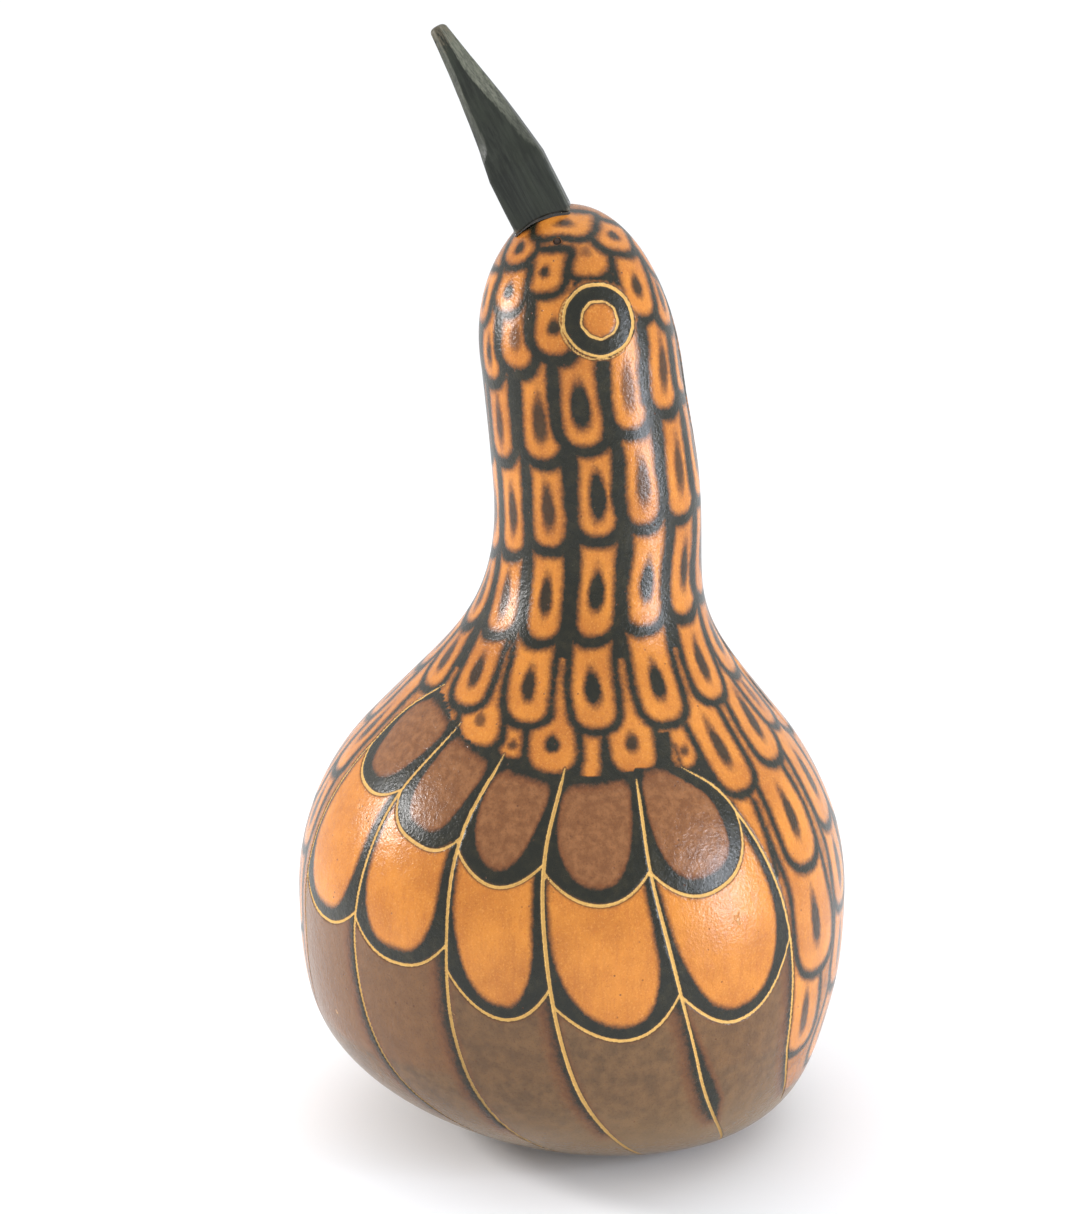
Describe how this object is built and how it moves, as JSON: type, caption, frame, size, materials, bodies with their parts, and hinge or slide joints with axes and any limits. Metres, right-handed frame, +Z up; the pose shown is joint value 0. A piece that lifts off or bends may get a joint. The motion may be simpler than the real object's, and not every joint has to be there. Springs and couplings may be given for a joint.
{
  "type": "gourd guiro",
  "caption": "Hollow bottle-gourd guiro shaped as a sitting bird, with a filed rasp on one side, a thumb and sound hole, and a whittled wooden beak.",
  "frame": {"origin": "on the surface the gourd stands on, under the middle of its bounding box", "axes": "+Z up, the beak points towards -Y, +X is the bird's left side, the rasp is on the right side at -X"},
  "size_m": [0.14, 0.14, 0.2781],
  "materials": {
    "gourd": "varnished, scorched and incised gourd skin",
    "beak_wood": "black-stained whittled wood, satin",
    "dowel_wood": "bare turned wood",
    "glue": "dark dried glue, glossy",
    "brad_steel": "dull tarnished wire nail"
  },
  "bodies": {
    "root": {"gourd_shell": "gourd", "beak": "beak_wood", "beak_dowel": "dowel_wood", "glue_bead": "glue", "beak_brad": "brad_steel"}
  },
  "joints": []
}
